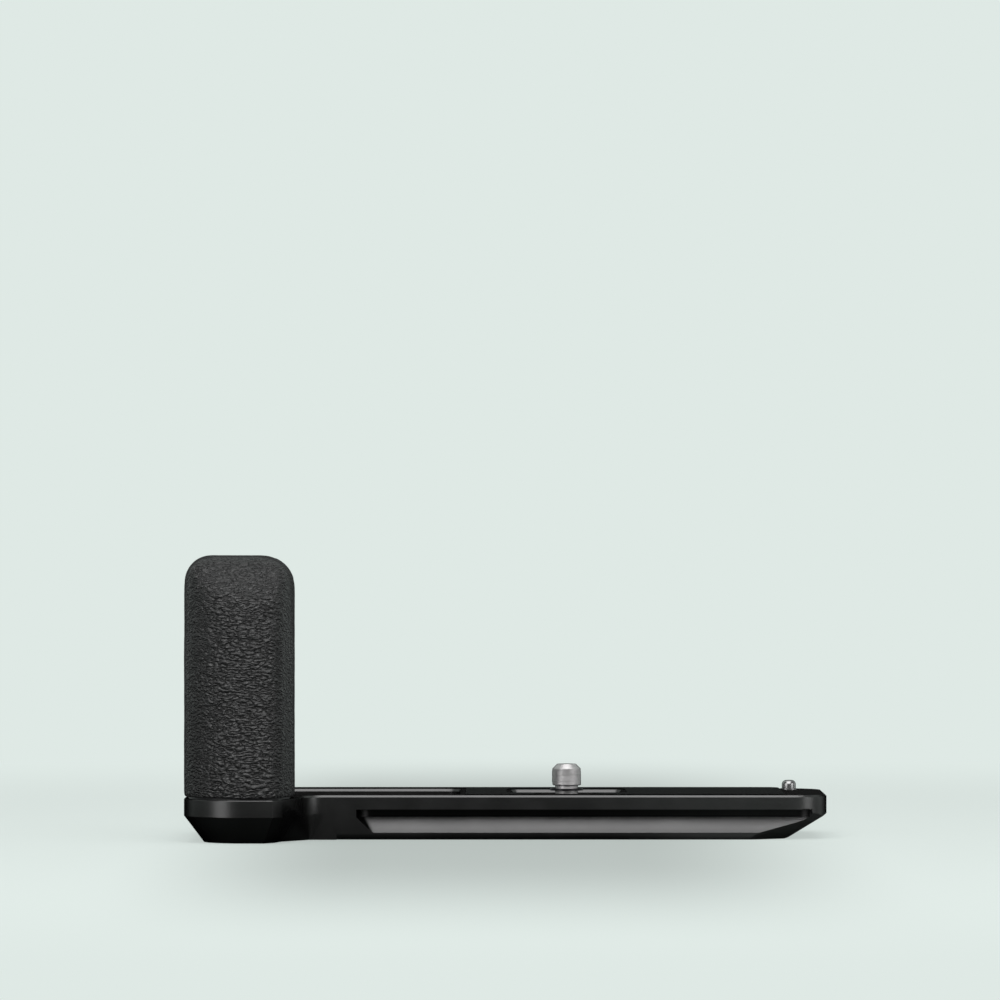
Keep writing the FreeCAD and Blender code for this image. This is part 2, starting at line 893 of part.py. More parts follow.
def locating_pin():
    """The domed pin that stops the camera turning, on a thicker shank that ends at the seat."""
    low = metal_top - pin_seat_depth
    shank_radius = pin_shank_diameter / 2
    pin_radius = pin_diameter / 2
    profile = [(0, low), (shank_radius, low), (shank_radius, 0), (pin_radius, 0)]
    for i in range(pin_dome_steps + 1):
        angle = math.radians(90 * i / pin_dome_steps)
        radius = pin_radius - pin_dome_radius * (1 - math.cos(angle))
        profile.append((radius, pin_height - pin_dome_radius * (1 - math.sin(angle))))
    profile.append((0, pin_height))
    return revolved(pin_from_screw, pin_from_front, profile)


def tripod_bush():
    """The flanged steel bush with the tripod thread, put in from above."""
    low = plate_bottom + bush_below_flush
    flange_top = -pad_thickness
    flange_low = flange_top - bush_flange_thickness
    x = bush_from_screw
    depth = screw_from_front
    bush = cylinder(x, depth, low, flange_top, bush_diameter / 2)
    bush = bush.fuse(cylinder(x, depth, flange_low, flange_top, bush_flange_diameter / 2))
    bore = bush_bore_diameter / 2
    bush = bush.cut(cylinder(x, depth, low, low + bush_bore_depth, bore))
    mouth = cone(x, depth, low, low + bush_mouth_chamfer, bore + bush_mouth_chamfer, bore)
    return bush.cut(mouth).removeSplitter()


def grub_hole():
    """The threaded hole of the grub screw, from the bush out to the back groove."""
    start = screw_from_front + bush_diameter / 2
    radius = grub_diameter / 2 + fit_gap
    return level_cylinder(bush_from_screw, start, grub_z, plate_depth - start, radius)


def bush_grub_screw():
    """The headless screw that locks the bush."""
    start = screw_from_front + bush_diameter / 2 + fit_gap
    return level_cylinder(bush_from_screw, start, grub_z, grub_length, grub_diameter / 2)


def seat_pad():
    """The thin pad under the camera, cut out round the window and the screw pocket."""
    pad = prism(pad_blank(0), -pad_thickness, 0)
    pad = pad.cut(prism(pocket_outline(pocket_rim), -cut_margin, cut_margin))
    return pad.cut(prism(pad_notch(), -cut_margin, cut_margin))


parts = {
    "base_plate": base_plate,
    "seat_pad": seat_pad,
    "tripod_bush": tripod_bush,
    "bush_grub_screw": bush_grub_screw,
    "locating_pin": locating_pin,
    "camera_screw": camera_screw,
    "retaining_ring": retaining_ring,
    "friction_washer": friction_washer,
    "handle_core": handle_core,
    "handle_skin": handle_skin,
    "handle_back_cover": handle_back_cover,
    "handle_back_pad": handle_back_pad,
    "back_cover_screws": cover_screws,
    "core_inserts": core_inserts,
    "handle_screws": handle_screws,
}


def main():
    os.makedirs("parts", exist_ok=True)
    for name, make in parts.items():
        shape = make()
        print(name, shape.isValid(), len(shape.Solids), round(shape.Volume, 1))
        shape.exportStep("parts/" + name + ".step")


main()
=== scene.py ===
import json
import math

import bmesh
import bpy
from mathutils import Matrix, Vector, noise


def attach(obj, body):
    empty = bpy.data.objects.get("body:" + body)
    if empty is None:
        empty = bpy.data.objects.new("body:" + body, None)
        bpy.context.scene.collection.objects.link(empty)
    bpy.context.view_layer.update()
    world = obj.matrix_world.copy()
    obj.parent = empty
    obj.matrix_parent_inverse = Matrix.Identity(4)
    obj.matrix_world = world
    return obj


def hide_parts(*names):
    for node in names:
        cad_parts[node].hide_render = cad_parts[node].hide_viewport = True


# Camera hand grip, dressed round its packed construction. Metres, in the frame of the
# construction: the camera screw's axis meets the seat at the origin, X runs along the plate
# away from the handle, Y from the front of the camera to its back, Z is up.

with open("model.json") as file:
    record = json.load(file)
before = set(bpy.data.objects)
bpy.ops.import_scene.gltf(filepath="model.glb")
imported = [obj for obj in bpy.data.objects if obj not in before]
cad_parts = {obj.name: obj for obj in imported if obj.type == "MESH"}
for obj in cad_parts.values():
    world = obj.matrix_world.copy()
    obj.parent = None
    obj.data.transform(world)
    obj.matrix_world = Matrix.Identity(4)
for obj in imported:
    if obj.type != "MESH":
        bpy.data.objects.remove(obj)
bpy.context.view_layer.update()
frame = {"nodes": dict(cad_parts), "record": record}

MM = 0.001

# Plate and foot
SEAT_TO_BOTTOM = 9.9 * MM
PLATE_MIDDLE = -1.0 * MM
# The dovetail groove: its wall from top to low, then its flank down to the lip
GROOVE_TOP = -3.2 * MM
GROOVE_WALL_LOW = -5.05 * MM
GROOVE_LIP = -8.35 * MM
# Between which distances from the plate's middle, and between which ends, the wall lies: the box of
# the wall's painted shade, which at the right end also reaches over the round where the groove ends
GROOVE_DEPTHS = (15.5 * MM, 18.6 * MM)
GROOVE_ENDS = (-48.0 * MM, 52.6 * MM)

# Handle, and the slope at its top
HANDLE_LEFT = -82.7 * MM
HANDLE_RIGHT = -58.9 * MM
HANDLE_FRONT = -40.8 * MM
HANDLE_TOP = 51.8 * MM
COVER_FRONT = -22.4 * MM
CROWN_DEPTH = 12.0 * MM
SLOPE_REACH = 18.0 * MM
SLOPE_BACK = -26.0 * MM
SLOPE_BLEND = 3.0 * MM

# Camera screw, with the groove of its retaining ring
THREAD_RADIUS = 3.175 * MM
THREAD_LOW = 1.1 * MM
THREAD_HIGH = 5.8 * MM
THREAD_PITCH = 1.27 * MM
THREAD_DEPTH = 0.07 * MM
THREAD_CREST = 0.88 * THREAD_PITCH
THREAD_FOOT = 0.96 * THREAD_PITCH
THREAD_SINK = 0.1 * MM
THREAD_RUN_OUT = 0.2 * MM
THREAD_CHAMFER = 1.1 * MM
NECK_RADIUS = 2.5 * MM
HEAD_RADIUS = 7.3 * MM
HEAD_TOP = -5.0 * MM
HEAD_LOW = -7.6 * MM
HEAD_EDGE = 0.3 * MM
COIN_SLOT_WIDTH = 1.8 * MM
COIN_SLOT_DEPTH = 1.4 * MM
RING_LOW = 0.0 * MM
RING_HIGH = 0.4 * MM
RING_PLAY = 0.04 * MM
RING_GROOVE_RADIUS = 2.15 * MM

# Locating pin
PIN_CENTRE = (49.2 * MM, 10.0 * MM, 0.0)
PIN_RADIUS = 1.55 * MM
PIN_SHANK_RADIUS = 1.8 * MM
PIN_LOW = -5.3 * MM
PIN_TOP = 1.85 * MM
PIN_DOME_RADIUS = 0.95 * MM

# Tripod bush. Its thread's form: where the root ends and the crest lies, in pitches
BUSH_X = 21.0 * MM
BUSH_BORE_RADIUS = 3.2 * MM
BUSH_LOW = -9.8 * MM
BUSH_BORE_TOP = -3.2 * MM
BUSH_THREAD_DEPTH = 0.5 * MM
BUSH_THREAD_SINK = 0.05 * MM
BUSH_THREAD_START = 0.5 * MM
BUSH_THREAD_ROOT = 0.86
BUSH_THREAD_CREST = (0.36, 0.52)

# The photograph's camera: level, square to the plate's front
CAMERA_PLACE = Vector((-14.6, -1520.0, 63.7)) * MM
CAMERA_LENS = 249.3
CAMERA_CLIP = (0.05, 50.0)
SENSOR_WIDTH = 36.0

BACKGROUND = (0.738, 0.815, 0.783, 1.0)
STAGE_SIZE = 12.0
BACKDROP_DISTANCE = 4.0
FLOOR_GAP = 0.05 * MM

# The floor near the object: how much of it takes real light, how light that part comes out,
# and the distances at which none and all of that share is reached
LIT_SHARE = 0.8
LIT_COLOUR = (0.24, 0.265, 0.254, 1.0)
LIT_LEVEL = 0.33
LIT_REACH = (0.45, 0.16)
# The painted soft shadow on the floor: (begins, full, full, ends) along X and Y
SHADE_X = (-94.0 * MM, -44.0 * MM, 12.0 * MM, 68.0 * MM)
SHADE_Y = (-380.0 * MM, -110.0 * MM, 110.0 * MM, 480.0 * MM)
SHADE_DEPTH = 0.33
# Where the pale sweep ends towards the camera, as the metal mirrors it
SWEEP_FRONT = (-550.0 * MM, -250.0 * MM)
# Painted shade: the floor under the object is painted dark in mirrors, up to the plate's right end
MIRROR_DARKENING = 0.85
MIRROR_DARK_X = (5.0 * MM, 42.0 * MM)

# The dim grey all round, which lights the object a little and shows in its metal
WORLD_GREY = (0.5, 0.5, 0.5, 1.0)
WORLD_LEVEL = 0.08

# Each lamp's place, width, height and power. All look at one point of the plate.
LAMP_TARGET = (-0.014, -0.01, 0.0)
SOFT_BOXES = {
    "top box": ((-0.01, -0.42, 0.94), 1.0, 1.2, 10.5),
    "front box": ((-0.01, -0.8, 0.56), 1.0, 0.36, 2.6),
    "left box": ((-0.72, -0.72, 0.2), 0.46, 0.6, 2.6),
    "right box": ((0.86, -0.55, 0.2), 0.46, 0.6, 2.2),
    "far right box": ((1.0, 0.27, 0.2), 0.3, 0.6, 0.4),
}


# Node tools

NOISE_MIDDLE = 0.5


def tree_of(material):
    material.use_nodes = True
    nodes = material.node_tree.nodes
    nodes.clear()
    return nodes, material.node_tree.links


def set_inputs(node, values):
    for name, value in values.items():
        node.inputs[name].default_value = value


def add_node(nodes, kind, values=None, **settings):
    node = nodes.new(kind)
    for name, value in settings.items():
        setattr(node, name, value)
    set_inputs(node, values or {})
    return node


def maths(tree, operation, first, second=None, clamp=False):
    """A Math node on sockets or plain numbers."""
    node = tree.nodes.new("ShaderNodeMath")
    node.operation = operation
    node.use_clamp = clamp
    for index, value in enumerate((first, second)):
        if value is None:
            continue
        if isinstance(value, bpy.types.NodeSocket):
            tree.links.new(value, node.inputs[index])
        else:
            node.inputs[index].default_value = value
    return node.outputs[0]


def product(tree, first, second):
    return maths(tree, "MULTIPLY", first, second)


def rest_of_one(tree, value):
    return maths(tree, "SUBTRACT", 1.0, value)


def stretch(tree, value, low, high, to_low=0.0, to_high=1.0):
    """A smooth step of a value between two limits."""
    node = tree.nodes.new("ShaderNodeMapRange")
    node.interpolation_type = "SMOOTHSTEP"
    set_inputs(node, {"From Min": low, "From Max": high, "To Min": to_low, "To Max": to_high})
    tree.links.new(value, node.inputs["Value"])
    return node.outputs["Result"]


def within(tree, value, low, high):
    """One between two limits, nothing outside them, with a soft change."""
    soft = 0.1 * MM
    above = stretch(tree, value, low - soft, low + soft)
    return product(tree, above, stretch(tree, value, high + soft, high - soft))


def object_place(tree):
    return tree.nodes.new("ShaderNodeTexCoord").outputs["Object"]


def facing(tree):
    """The direction that the surface faces."""
    return tree.nodes.new("ShaderNodeNewGeometry").outputs["Normal"]


def split(tree, vector):
    parts = tree.nodes.new("ShaderNodeSeparateXYZ")
    tree.links.new(vector, parts.inputs[0])
    return parts.outputs


def millimetres(tree, size=(1.0, 1.0, 1.0), turn=(0.0, 0.0, 0.0)):
    """Object coordinates in millimetres, turned and divided by a cell size."""
    mapping = tree.nodes.new("ShaderNodeMapping")
    mapping.vector_type = "POINT"
    mapping.inputs["Rotation"].default_value = turn
    mapping.inputs["Scale"].default_value = [1.0 / MM / s for s in size]
    tree.links.new(object_place(tree), mapping.inputs["Vector"])
    return mapping.outputs["Vector"]


def new_group(name, inputs, outputs):
    """An empty node group: {name: (socket type, default)} in, {name: socket type} out."""
    group = bpy.data.node_groups.new(name, "ShaderNodeTree")
    for label, (kind, value) in inputs.items():
        socket = group.interface.new_socket(label, in_out="INPUT", socket_type=kind)
        socket.default_value = value
    for label, kind in outputs.items():
        group.interface.new_socket(label, in_out="OUTPUT", socket_type=kind)
    entry = group.nodes.new("NodeGroupInput")
    leave = group.nodes.new("NodeGroupOutput")
    return group, entry.outputs, leave.inputs


# Shared effects

CLOUD_LIMITS = (0.3, 0.7)
SPECKLE = 0.1
CREASE_ROUNDNESS = 0.7


def make_satin_blast():
    """The fine even relief of a blasted or moulded surface, with soft cloudy changes of gloss."""
    group, given, out = new_group(
        "satin blast",
        {
            "Grain Size": ("NodeSocketFloat", 0.12),
            "Grain Depth": ("NodeSocketFloat", 0.5),
            "Gloss": ("NodeSocketFloat", 0.4),
            "Gloss Change": ("NodeSocketFloat", 0.06),
            "Colour": ("NodeSocketColor", (0.02, 0.02, 0.02, 1.0)),
            "Colour Change": ("NodeSocketFloat", 0.15),
        },
        {"Colour": "NodeSocketColor", "Roughness": "NodeSocketFloat", "Height": "NodeSocketFloat"},
    )
    place = millimetres(group)
    fine = add_node(group.nodes, "ShaderNodeTexNoise", {"Detail": 2.0, "Roughness": 0.6})
    group.links.new(place, fine.inputs["Vector"])
    group.links.new(maths(group, "DIVIDE", 1.0, given["Grain Size"]), fine.inputs["Scale"])
    broad = add_node(group.nodes, "ShaderNodeTexNoise", {"Scale": 0.14, "Detail": 4.0})
    group.links.new(place, broad.inputs["Vector"])
    group.links.new(product(group, fine.outputs["Fac"], given["Grain Depth"]), out["Height"])
    cloud = stretch(group, broad.outputs["Fac"], *CLOUD_LIMITS, -1.0, 1.0)
    change = product(group, cloud, given["Gloss Change"])
    grain = maths(group, "SUBTRACT", fine.outputs["Fac"], NOISE_MIDDLE)
    gloss = maths(group, "ADD", given["Gloss"], change)
    gloss = maths(group, "ADD", gloss, product(group, grain, SPECKLE), clamp=True)
    group.links.new(gloss, out["Roughness"])
    tone = product(group, cloud, given["Colour Change"])
    bright = group.nodes.new("ShaderNodeHueSaturation")
    group.links.new(maths(group, "ADD", tone, 1.0), bright.inputs["Value"])
    group.links.new(given["Colour"], bright.inputs["Color"])
    group.links.new(bright.outputs["Color"], out["Colour"])
    return group


def make_turning_marks():
    """Fine rings round a vertical axis, as a lathe tool leaves them."""
    group, given, out = new_group(
        "turning marks",
        {
            "Centre": ("NodeSocketVector", (0.0, 0.0, 0.0)),
            "Ring Spacing": ("NodeSocketFloat", 0.12),
            "Depth": ("NodeSocketFloat", 0.5),
        },
        {"Height": "NodeSocketFloat"},
    )
    centred = add_node(group.nodes, "ShaderNodeVectorMath", operation="SUBTRACT")
    group.links.new(object_place(group), centred.inputs[0])
    group.links.new(given["Centre"], centred.inputs[1])
    parts = split(group, centred.outputs[0])
    square_x = product(group, parts["X"], parts["X"])
    square_y = product(group, parts["Y"], parts["Y"])
    radius = maths(group, "SQRT", maths(group, "ADD", square_x, square_y))
    along = maths(group, "ADD", radius, parts["Z"])
    rings = maths(group, "DIVIDE", maths(group, "DIVIDE", along, MM), given["Ring Spacing"])
    wave = add_node(
        group.nodes, "ShaderNodeTexNoise", {"Scale": 1.0, "Detail": 3.0}, noise_dimensions="1D"
    )
    group.links.new(rings, wave.inputs["W"])
    group.links.new(product(group, wave.outputs["Fac"], given["Depth"]), out["Height"])
    return group


def make_crease_net():
    """A net of creases between raised grains, its grains longer along one direction."""
    group, given, out = new_group(
        "crease net",
        {
            "Place": ("NodeSocketVector", (0.0, 0.0, 0.0)),
            "Warp": ("NodeSocketFloat", 0.5),
            "Crease Width": ("NodeSocketFloat", 0.25),
        },
        {"Height": "NodeSocketFloat", "Crease": "NodeSocketFloat"},
    )
    nodes, links = group.nodes, group.links
    bend = add_node(nodes, "ShaderNodeTexNoise", {"Scale": 0.9, "Detail": 3.0, "Roughness": 0.6})
    links.new(given["Place"], bend.inputs["Vector"])
    centred = add_node(nodes, "ShaderNodeVectorMath", operation="SUBTRACT")
    centred.inputs[1].default_value = (NOISE_MIDDLE, NOISE_MIDDLE, NOISE_MIDDLE)
    links.new(bend.outputs["Color"], centred.inputs[0])
    scaled = add_node(nodes, "ShaderNodeVectorMath", operation="SCALE")
    links.new(centred.outputs[0], scaled.inputs[0])
    links.new(given["Warp"], scaled.inputs["Scale"])
    moved = add_node(nodes, "ShaderNodeVectorMath", operation="ADD")
    links.new(given["Place"], moved.inputs[0])
    links.new(scaled.outputs[0], moved.inputs[1])
    waves = add_node(nodes, "ShaderNodeTexNoise", {"Scale": 1.0, "Detail": 1.0, "Roughness": 0.4})
    links.new(moved.outputs[0], waves.inputs["Vector"])
    away = maths(group, "ABSOLUTE", maths(group, "SUBTRACT", waves.outputs["Fac"], NOISE_MIDDLE))
    rounded = maths(group, "POWER", product(group, away, 2.0), CREASE_ROUNDNESS)
    links.new(rounded, out["Height"])
    step = nodes.new("ShaderNodeMapRange")
    step.interpolation_type = "SMOOTHSTEP"
    set_inputs(step, {"To Min": 1.0, "To Max": 0.0})
    links.new(away, step.inputs["Value"])
    links.new(given["Crease Width"], step.inputs["From Max"])
    links.new(step.outputs["Result"], out["Crease"])
    return group


SATIN_BLAST = make_satin_blast()
TURNING_MARKS = make_turning_marks()
CREASE_NET = make_crease_net()


def place_group(tree, group, values):
    node = tree.nodes.new("ShaderNodeGroup")
    node.node_tree = group
    set_inputs(node, values)
    return node


def bump(tree, height, strength, distance):
    node = add_node(tree.nodes, "ShaderNodeBump", {"Strength": strength, "Distance": distance})
    tree.links.new(height, node.inputs["Height"])
    return node.outputs["Normal"]


def surface(name, shader_values):
    """A material with its Principled BSDF, wired to the output."""
    material = bpy.data.materials.new(name)
    nodes, links = tree_of(material)
    shader = add_node(nodes, "ShaderNodeBsdfPrincipled", shader_values)
    output = nodes.new("ShaderNodeOutputMaterial")
    links.new(shader.outputs["BSDF"], output.inputs["Surface"])
    return material, material.node_tree, shader


# Finishes

PLAIN_RIM = (1.0, 1.0, 1.0, 1.0)
DARK_RIM = (0.1, 0.1, 0.1, 1.0)
EDGE_ENDS = 0.93
RELIEF_DEPTH = 0.02 * MM
BLASTED_RELIEF = 0.5
TURNED_RELIEF = 0.6

# The groove's flank: how far it leans, how its painted light runs from lip to wall, its extra
# roughness
FLANK_LEAN = (0.5, 0.65)
FLANK_EDGE = 0.2 * MM
FLANK_PAINTED_LIGHT_TOP = GROOVE_WALL_LOW - 1.0 * MM
FLANK_PAINTED_LIGHT = (0.6, 2.8)
FLANK_ROUGHNESS = 0.29
# How much the painted shade darkens the groove's wall
WALL_SHADE = 0.75

# The leather: where its front begins and is full, by how squarely a face looks forwards, and
# its cells in millimetres
LEATHER_FRONT = (0.6, 0.98)
WRINKLE_CELL = (1.85, 1.3, 0.84)
PEBBLE_CELL = (1.5, 1.3, 0.7)
PEBBLE_SLANT = (0.0, math.radians(-38.0), 0.0)
PEBBLE_SHARES = (0.7, 0.15)
PORE_HEIGHT = 0.08
LEATHER_RELIEF = 0.95 * MM
# Painted shade: how dark the front's creases are painted and how much darker the sides are painted;
# the ridges' own colour, the near black painted into the creases, and where on the ramp that black
# is full
FRONT_CREASE_PAINTED_SHADE = 0.64
SIDE_PAINTED_SHADE = 0.5
LEATHER_TOP = (0.035, 0.035, 0.0354, 1.0)
LEATHER_PAINTED_CREASE_SHADE = (0.001, 0.001, 0.001, 1.0)
CREASE_FULL = 0.75
LEATHER_GLOSS = 0.3
CREASE_DULLING = 0.5


def dulled_and_painted_darker_at_edge(tree, shader, colour, roughness, begins=0.75, share=0.85):
    """Fine relief hides the mirror that a plain surface makes when it is seen edge on, so the
    roughness rises there; the colour is also darkened there, a painted shade.
    """
    weight = add_node(tree.nodes, "ShaderNodeLayerWeight", {"Blend": 0.5})
    edge_on = stretch(tree, weight.outputs["Facing"], begins, EDGE_ENDS)
    tree.links.new(maths(tree, "MAXIMUM", roughness, edge_on), shader.inputs["Roughness"])
    # Painted shade: faces seen edge on are coloured darker.
    darker = add_node(tree.nodes, "ShaderNodeHueSaturation")
    value = rest_of_one(tree, product(tree, edge_on, share))
    tree.links.new(value, darker.inputs["Value"])
    tree.links.new(colour, darker.inputs["Color"])
    tree.links.new(darker.outputs["Color"], shader.inputs["Base Color"])


def blasted_finish(
    name, colour, gloss, metallic, grain_size, grain_depth, specular=0.5, rim=PLAIN_RIM, **edge
):
    """Moulded, rubber and blasted surfaces: one relief, their own colour and gloss."""
    shader_values = {"Metallic": metallic, "Specular IOR Level": specular, "Specular Tint": rim}
    material, tree, shader = surface(name, shader_values)
    grain = place_group(
        tree,
        SATIN_BLAST,
        {
            "Grain Size": grain_size,
            "Grain Depth": grain_depth,
            "Gloss": gloss,
            "Colour": (*colour, 1.0),
        },
    )
    dulled_and_painted_darker_at_edge(tree, shader, grain.outputs["Colour"], grain.outputs["Roughness"], **edge)
    normal = bump(tree, grain.outputs["Height"], BLASTED_RELIEF, RELIEF_DEPTH)
    tree.links.new(normal, shader.inputs["Normal"])
    return material


def anodised_finish():
    """Satin black over the plate and foot; the groove's flanks are painted lighter, a painted
    highlight, and its wall painted darker, a painted shade.
    """
    shader_values = {"Metallic": 1.0, "Specular Tint": DARK_RIM}
    material, tree, shader = surface("black anodised aluminium", shader_values)
    satin = {"Grain Size": 0.16, "Grain Depth": 0.3, "Gloss": 0.31, "Gloss Change": 0.02}
    satin |= {"Colour": (0.1, 0.1, 0.1, 1.0), "Colour Change": 0.05}
    grain = place_group(tree, SATIN_BLAST, satin)
    leans = split(tree, facing(tree))
    place = split(tree, object_place(tree))

    outward = stretch(tree, maths(tree, "ABSOLUTE", leans["Y"]), *FLANK_LEAN)
    upward = stretch(tree, leans["Z"], *FLANK_LEAN)
    low = stretch(tree, place["Z"], GROOVE_WALL_LOW + FLANK_EDGE, GROOVE_WALL_LOW - FLANK_EDGE)
    flank = product(tree, product(tree, outward, upward), low)
    # Painted light: the flank's colour is lightened, a little at the lip and most towards the wall,
    # where the overhang keeps the lamps off it.
    painted_flank_light = stretch(tree, place["Z"], GROOVE_LIP, FLANK_PAINTED_LIGHT_TOP, *FLANK_PAINTED_LIGHT)
    lit = maths(tree, "ADD", product(tree, flank, painted_flank_light), 1.0)

    # Painted shade: the groove's wall, under its overhang, is darkened within this box.
    depth = maths(tree, "ABSOLUTE", maths(tree, "SUBTRACT", place["Y"], PLATE_MIDDLE))
    wall = within(tree, depth, *GROOVE_DEPTHS)
    wall = product(tree, wall, within(tree, place["X"], *GROOVE_ENDS))
    wall = product(tree, wall, within(tree, place["Z"], GROOVE_WALL_LOW, GROOVE_TOP))
    shaded = rest_of_one(tree, product(tree, wall, WALL_SHADE))

    # Painted light and shade: the flank's and the wall's colour is changed here.
    painted_flank_and_wall = tree.nodes.new("ShaderNodeHueSaturation")
    tree.links.new(product(tree, lit, shaded), painted_flank_and_wall.inputs["Value"])
    tree.links.new(grain.outputs["Colour"], painted_flank_and_wall.inputs["Color"])
    extra = product(tree, flank, FLANK_ROUGHNESS)
    rougher = maths(tree, "ADD", grain.outputs["Roughness"], extra)
    dulled_and_painted_darker_at_edge(tree, shader, painted_flank_and_wall.outputs["Color"], rougher)
    normal = bump(tree, grain.outputs["Height"], BLASTED_RELIEF, RELIEF_DEPTH)
    tree.links.new(normal, shader.inputs["Normal"])
    return material


def turned_finish(name, colour, gloss, centre, spacing, depth):
    """Bright turned metal: rings round its axis over a fine cloudy gloss."""
    material, tree, shader = surface(name, {"Metallic": 1.0, "Specular Tint": DARK_RIM})
    grain = place_group(
        tree,
        SATIN_BLAST,
        {"Grain Size": 0.2, "Grain Depth": 0.4, "Gloss": gloss, "Colour": (*colour, 1.0)},
    )
    marks = {"Centre": centre, "Ring Spacing": spacing, "Depth": depth}
    rings = place_group(tree, TURNING_MARKS, marks)
    relief = maths(tree, "ADD", grain.outputs["Height"], rings.outputs["Height"])
    dulled_and_painted_darker_at_edge(
        tree, shader, grain.outputs["Colour"], grain.outputs["Roughness"], begins=0.55
    )
    tree.links.new(bump(tree, relief, TURNED_RELIEF, RELIEF_DEPTH), shader.inputs["Normal"])
    return material


def leather_finish():
    """Creased black leather: long wrinkles across the front, finer grain round the sides, with
    painted shade in the creases and over the sides.
    """
    material, tree, shader = surface("creased leather", {"Specular IOR Level": 0.55})
    forward = product(tree, split(tree, facing(tree))["Y"], -1.0)
    frontness = stretch(tree, forward, *LEATHER_FRONT)
    wrinkles = place_group(tree, CREASE_NET, {"Warp": 0.9, "Crease Width": 0.1})
    tree.links.new(millimetres(tree, WRINKLE_CELL), wrinkles.inputs["Place"])
    pebbles = place_group(tree, CREASE_NET, {"Warp": 0.8, "Crease Width": 0.06})
    tree.links.new(millimetres(tree, PEBBLE_CELL, PEBBLE_SLANT), pebbles.inputs["Place"])
    pores = add_node(tree.nodes, "ShaderNodeTexNoise", {"Scale": 5.0, "Detail": 2.0})
    tree.links.new(millimetres(tree), pores.inputs["Vector"])

    deep = product(tree, wrinkles.outputs["Height"], frontness)
    pebble_share = stretch(tree, frontness, 0.0, 1.0, *PEBBLE_SHARES)
    fine = product(tree, pebbles.outputs["Height"], pebble_share)
    relief = maths(tree, "ADD", deep, fine)
    relief = maths(tree, "ADD", relief, product(tree, pores.outputs["Fac"], PORE_HEIGHT))
    tree.links.new(bump(tree, relief, 1.0, LEATHER_RELIEF), shader.inputs["Normal"])

    # Painted shade: the creases are coloured near black, where the ridges' shadows fall.
    crease = product(tree, wrinkles.outputs["Crease"], frontness)
    small = product(tree, pebbles.outputs["Crease"], pebble_share)
    crease = maths(tree, "MAXIMUM", crease, small)
    # Painted shade: the sides, turned away from the front, are coloured darker.
    sides = product(tree, rest_of_one(tree, frontness), SIDE_PAINTED_SHADE)
    crease = maths(tree, "ADD", product(tree, crease, FRONT_CREASE_PAINTED_SHADE), sides)
    ramp = tree.nodes.new("ShaderNodeValToRGB")
    top, deepest = ramp.color_ramp.elements
    top.color = LEATHER_TOP
    deepest.color = LEATHER_PAINTED_CREASE_SHADE
    deepest.position = CREASE_FULL
    tree.links.new(crease, ramp.inputs["Fac"])
    gloss = maths(tree, "ADD", product(tree, crease, CREASE_DULLING), LEATHER_GLOSS)
    dulled_and_painted_darker_at_edge(tree, shader, ramp.outputs["Color"], gloss, begins=0.4, share=0.9)
    return material


ANODISED = anodised_finish()
SEAT_RUBBER = blasted_finish(
    "seat rubber",
    (0.003, 0.0033, 0.0033),
    gloss=0.7,
    metallic=0.0,
    grain_size=0.3,
    grain_depth=1.0,
    specular=0.06,
    share=0.0,
)
BACK_RUBBER = blasted_finish(
    "back rubber",
    (0.022, 0.022, 0.023),
    gloss=0.6,
    metallic=0.0,
    grain_size=0.35,
    grain_depth=1.2,
)
MOULDED = blasted_finish(
    "moulded black plastic",
    (0.014, 0.014, 0.015),
    gloss=0.48,
    metallic=0.0,
    grain_size=0.22,
    grain_depth=1.2,
)
NYLON = blasted_finish(
    "black nylon", (0.03, 0.03, 0.03), gloss=0.42, metallic=0.0, grain_size=0.5, grain_depth=0.3
)
BLACK_OXIDE = blasted_finish(
    "black oxide", (0.03, 0.03, 0.032), gloss=0.34, metallic=0.85, grain_size=0.2, grain_depth=0.6
)
BRASS = blasted_finish(
    "insert brass", (0.66, 0.46, 0.19), gloss=0.3, metallic=1.0, grain_size=0.3, grain_depth=0.6
)
SMALL_STEEL = blasted_finish(
    "ground steel", (0.5, 0.5, 0.5), gloss=0.28, metallic=1.0, grain_size=0.25, grain_depth=0.5
)
SCREW_STEEL = blasted_finish(
    "blasted stainless steel",
    (0.6, 0.59, 0.59),
    gloss=0.5,
    metallic=1.0,
    grain_size=0.36,
    grain_depth=4.0,
    rim=DARK_RIM,
    begins=0.6,
)
BUSH_STEEL = turned_finish(
    "turned steel", (0.5, 0.49, 0.48), gloss=0.28, centre=(BUSH_X, 0, 0), spacing=0.14, depth=0.6
)
PIN_STEEL = turned_finish(
    "polished pin steel", (0.38, 0.38, 0.38), gloss=0.34, centre=PIN_CENTRE, spacing=0.2, depth=0.15
)
LEATHER = leather_finish()


# Mesh tools

WELD_REACH = 0.002 * MM
FLAT_ANGLE = 0.2
EDGE_ANGLE = 32.0
SHADING_ANGLE = 30.0


def body_of(node):
    for body, members in frame["record"]["behaviour"]["bodies"].items():
        if node in members:
            return body
    return None


def smooth_by_angle(bm, degrees):
    limit = math.radians(degrees)
    for face in bm.faces:
        face.smooth = True
    for edge in bm.edges:
        edge.smooth = len(edge.link_faces) == 2 and edge.calc_face_angle(0.0) < limit


def new_piece(name, bm, material, node):
    """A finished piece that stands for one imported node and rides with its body."""
    mesh = bpy.data.meshes.new(name)
    bm.to_mesh(mesh)
    bm.free()
    piece = bpy.data.objects.new(name, mesh)
    bpy.context.scene.collection.objects.link(piece)
    mesh.materials.append(material)
    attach(piece, body_of(node))
    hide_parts(node)
    return piece


def finished_piece(name, bm, material, node):
    """A new piece, once its faces are turned outwards and shaded."""
    bmesh.ops.recalc_face_normals(bm, faces=bm.faces)
    smooth_by_angle(bm, SHADING_ANGLE)
    return new_piece(name, bm, material, node)


